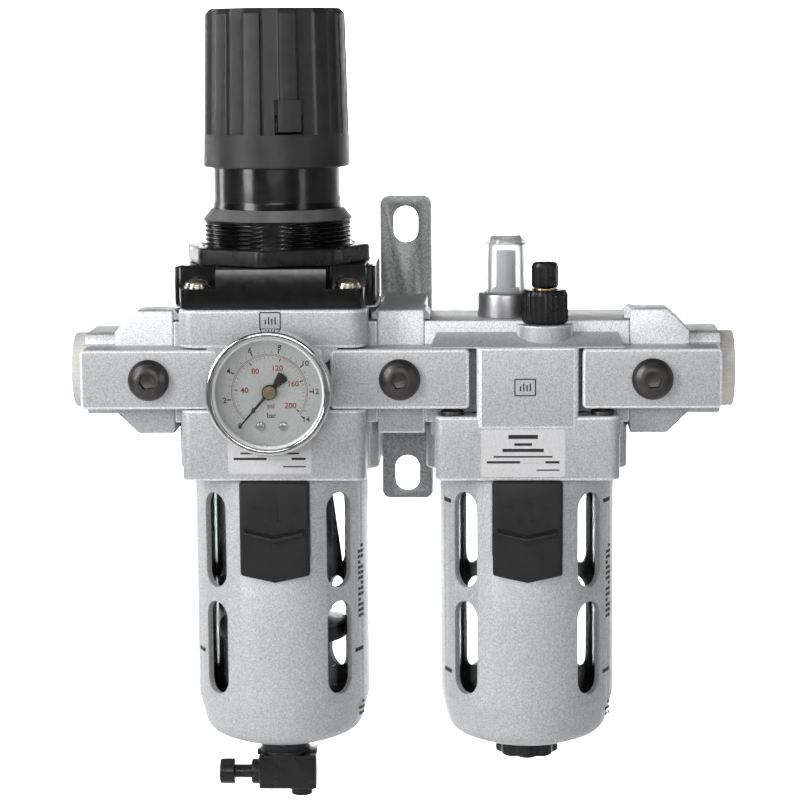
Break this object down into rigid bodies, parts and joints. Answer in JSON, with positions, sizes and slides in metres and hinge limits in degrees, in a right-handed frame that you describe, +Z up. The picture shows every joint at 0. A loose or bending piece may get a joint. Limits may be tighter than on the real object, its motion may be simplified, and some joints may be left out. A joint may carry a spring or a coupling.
{
  "type": "filter regulator lubricator",
  "caption": "Air line filter regulator with pressure gauge joined to a lubricator, clear bowls in slotted guards, clamp plates and wall bracket.",
  "frame": {"origin": "middle of the wall bracket, on its wall face, at port height", "axes": "+X along the air line from the filter regulator to the lubricator, +Y into the wall, +Z up"},
  "size_m": [0.2296, 0.088, 0.2788],
  "materials": {
    "silver_paint": "silver paint",
    "steel": "satin",
    "bright_steel": "polished",
    "black_oxide": "satin",
    "black_plastic": "matte",
    "gloss_black": "gloss",
    "clear_plastic": "clear",
    "glass": "clear",
    "white_plastic": "matte",
    "rubber": "matte",
    "brass": "satin",
    "dial": "matte"
  },
  "bodies": {
    "base": {"adapter_left": "silver_paint", "adapter_right": "silver_paint", "baffle": "black_plastic", "bonnet": "gloss_black", "bonnet_screw_1": "bright_steel", "bonnet_screw_2": "bright_steel", "bonnet_screw_3": "bright_steel", "bonnet_screw_4": "bright_steel", "bracket": "steel", "bracket_screw_1": "black_oxide", "bracket_screw_2": "black_oxide", "clamp_plate_left": "silver_paint", "clamp_plate_middle": "silver_paint", "clamp_plate_right": "silver_paint", "clamp_screw_left": "black_oxide", "clamp_screw_middle": "black_oxide", "clamp_screw_right": "black_oxide", "diaphragm": "rubber", "drip_tube": "black_plastic", "filter_element": "white_plastic", "gauge_bezel": "bright_steel", "gauge_case": "black_oxide", "gauge_dial": "dial", "gauge_lens": "glass", "joint_seal_lub_in": "rubber", "joint_seal_lub_out": "rubber", "joint_seal_reg_in": "rubber", "joint_seal_reg_out": "rubber", "louver": "black_plastic", "lub_body": "silver_paint", "main_spring": "steel", "panel_nut": "black_plastic", "port_cap_left": "white_plastic", "port_cap_right": "white_plastic", "reg_body": "silver_paint", "sight_base": "bright_steel", "sight_dome": "clear_plastic", "siphon_tube": "white_plastic", "spacer": "silver_paint", "valve_spring": "steel"},
    "adjusting_screw": {"adjusting_screw": "steel"},
    "knob": {"knob": "black_plastic", "knob_latch": "black_plastic"},
    "spring_seat": {"spring_seat": "brass"},
    "valve": {"valve_poppet": "brass"},
    "pointer": {"gauge_pointer": "black_oxide"},
    "reg_bowl": {"reg_bowl": "clear_plastic", "reg_guard": "silver_paint", "reg_bowl_seal": "rubber", "drain_body": "black_plastic"},
    "reg_lock": {"reg_lock_button": "black_plastic"},
    "drain_button": {"drain_button": "black_plastic"},
    "lub_bowl": {"lub_bowl": "clear_plastic", "lub_guard": "silver_paint", "lub_bowl_seal": "rubber"},
    "lub_lock": {"lub_lock_button": "black_plastic"},
    "lub_drain": {"lub_drain_knob": "black_plastic"},
    "fill_plug": {"fill_plug": "black_plastic"},
    "feed_knob": {"feed_knob": "black_plastic"},
    "flow_vane": {"flow_vane": "rubber"}
  },
  "joints": [
    {"name": "knob_turn", "type": "hinge", "parent": "base", "child": "adjusting_screw", "pos_m": [-0.04315, -0.04, 0.09], "axis": [0, 0, 1], "range_deg": [-1440, 720]},
    {"name": "knob_pull", "type": "slide", "parent": "adjusting_screw", "child": "knob", "axis": [0, 0, 1], "range_m": [-0.005, 0]},
    {"name": "seat_travel", "type": "slide", "parent": "base", "child": "spring_seat", "axis": [0, 0, 1], "range_m": [-0.00605, 0.00305], "deforming": ["main_spring"]},
    {"name": "valve_lift", "type": "slide", "parent": "base", "child": "valve", "axis": [0, 0, 1], "range_m": [-0.0015, 0], "stiffness_N_per_m": 400, "springref_m": 0.002, "deforming": ["valve_spring"]},
    {"name": "gauge_pointer_turn", "type": "hinge", "parent": "base", "child": "pointer", "pos_m": [-0.04315, -0.083, -0.0035], "axis": [0, 1, 0], "range_deg": [0, 266.7], "stiffness_Nm_per_rad": 0.0005, "springref_deg": -11.46},
    {"name": "reg_bowl_twist", "type": "hinge", "parent": "base", "child": "reg_bowl", "pos_m": [-0.04315, -0.04, -0.08], "axis": [0, 0, 1], "range_deg": [0, 45]},
    {"name": "reg_lock_slide", "type": "slide", "parent": "reg_bowl", "child": "reg_lock", "axis": [0, 0, 1], "range_m": [-0.004, 0], "stiffness_N_per_m": 300, "springref_m": 0.003},
    {"name": "drain_push", "type": "slide", "parent": "reg_bowl", "child": "drain_button", "axis": [1, 0, 0], "range_m": [0, 0.003], "stiffness_N_per_m": 300, "springref_m": -0.003},
    {"name": "lub_bowl_twist", "type": "hinge", "parent": "base", "child": "lub_bowl", "pos_m": [0.04315, -0.04, -0.08], "axis": [0, 0, 1], "range_deg": [0, 45]},
    {"name": "lub_lock_slide", "type": "slide", "parent": "lub_bowl", "child": "lub_lock", "axis": [0, 0, 1], "range_m": [-0.004, 0], "stiffness_N_per_m": 300, "springref_m": 0.003},
    {"name": "lub_drain_turn", "type": "hinge", "parent": "lub_bowl", "child": "lub_drain", "pos_m": [0.04315, -0.04, -0.137], "axis": [0, 0, 1], "range_deg": [0, 180]},
    {"name": "fill_plug_turn", "type": "hinge", "parent": "base", "child": "fill_plug", "pos_m": [0.04925, -0.058, 0.022], "axis": [0, 0, 1], "range_deg": [0, 360]},
    {"name": "feed_knob_turn", "type": "hinge", "parent": "fill_plug", "child": "feed_knob", "pos_m": [0.04925, -0.058, 0.033], "axis": [0, 0, 1], "range_deg": [0, 360]},
    {"name": "flow_vane_swing", "type": "hinge", "parent": "base", "child": "flow_vane", "pos_m": [0.04315, -0.04, 0.0052], "axis": [0, -1, 0], "range_deg": [0, 30], "stiffness_Nm_per_rad": 0.001}
  ],
  "couplings": [
    {"joint": "seat_travel", "follows": "knob_turn", "m_per_rad": 0.00023873}
  ]
}
